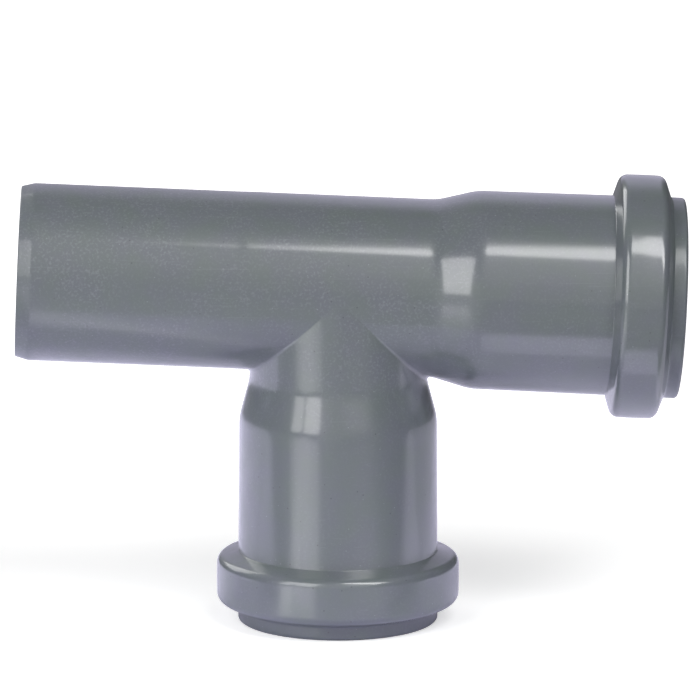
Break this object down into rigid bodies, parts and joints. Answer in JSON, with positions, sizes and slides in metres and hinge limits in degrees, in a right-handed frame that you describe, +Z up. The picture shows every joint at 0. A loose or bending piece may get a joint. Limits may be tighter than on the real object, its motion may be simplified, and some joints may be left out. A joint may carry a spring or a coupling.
{
  "type": "pipe tee",
  "caption": "Grey push-fit waste pipe tee: plain spigot and ring-seal socket in line, and a ring-seal branch socket leaning slightly off square to carry a side pipe into the run.",
  "frame": {"origin": "centre of the branch socket's mouth, on the plane of the mouth that the tee stands on", "axes": "+Z up the branch axis from its mouth, +X towards the run's socket (the run slopes 2.5 degrees down that way), +Y across the run"},
  "size_m": [0.1514, 0.0548, 0.1021],
  "materials": {
    "grey_polypropylene": "satin moulded",
    "black_rubber": "matt moulded"
  },
  "bodies": {
    "root": {"tee_body": "grey_polypropylene", "run_seal": "black_rubber", "branch_seal": "black_rubber"}
  },
  "joints": []
}
